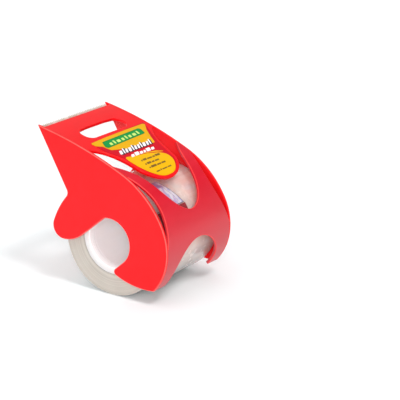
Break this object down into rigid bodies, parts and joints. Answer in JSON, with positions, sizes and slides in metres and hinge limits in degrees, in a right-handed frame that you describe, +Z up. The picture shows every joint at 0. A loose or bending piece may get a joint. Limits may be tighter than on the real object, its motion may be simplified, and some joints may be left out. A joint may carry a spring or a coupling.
{
  "type": "packing tape dispenser",
  "caption": "Hand-held packing tape dispenser: a moulded red shell with a toothed steel edge around a free-turning roll of clear tape on a hollow core.",
  "frame": {"origin": "centre of the footprint box, on the surface that the roll stands on", "axes": "+Z up, Y along the roll's axis, +X towards the front band, with the cutting edge up at -X"},
  "size_m": [0.072, 0.0516, 0.0746],
  "materials": {
    "red_plastic": "semi-gloss moulded polypropylene",
    "steel": "thin rolled strip",
    "core": "white, slightly translucent",
    "tape": "clear tape wound in many turns",
    "film": "single thickness of clear tape",
    "strip_print": "print seen under clear film",
    "label_print": "printed sticker"
  },
  "bodies": {
    "dispenser": {"shell": "red_plastic", "cutter_blade": "steel", "tape_leader": "film", "front_label": "label_print"},
    "roll": {"tape_core": "core", "tape_winding": "tape", "start_strip": "strip_print"}
  },
  "joints": [
    {"name": "roll_spin", "type": "hinge", "parent": "dispenser", "child": "roll", "pos_m": [0.004, 0, 0.02585], "axis": [0, 1, 0], "continuous": true}
  ]
}
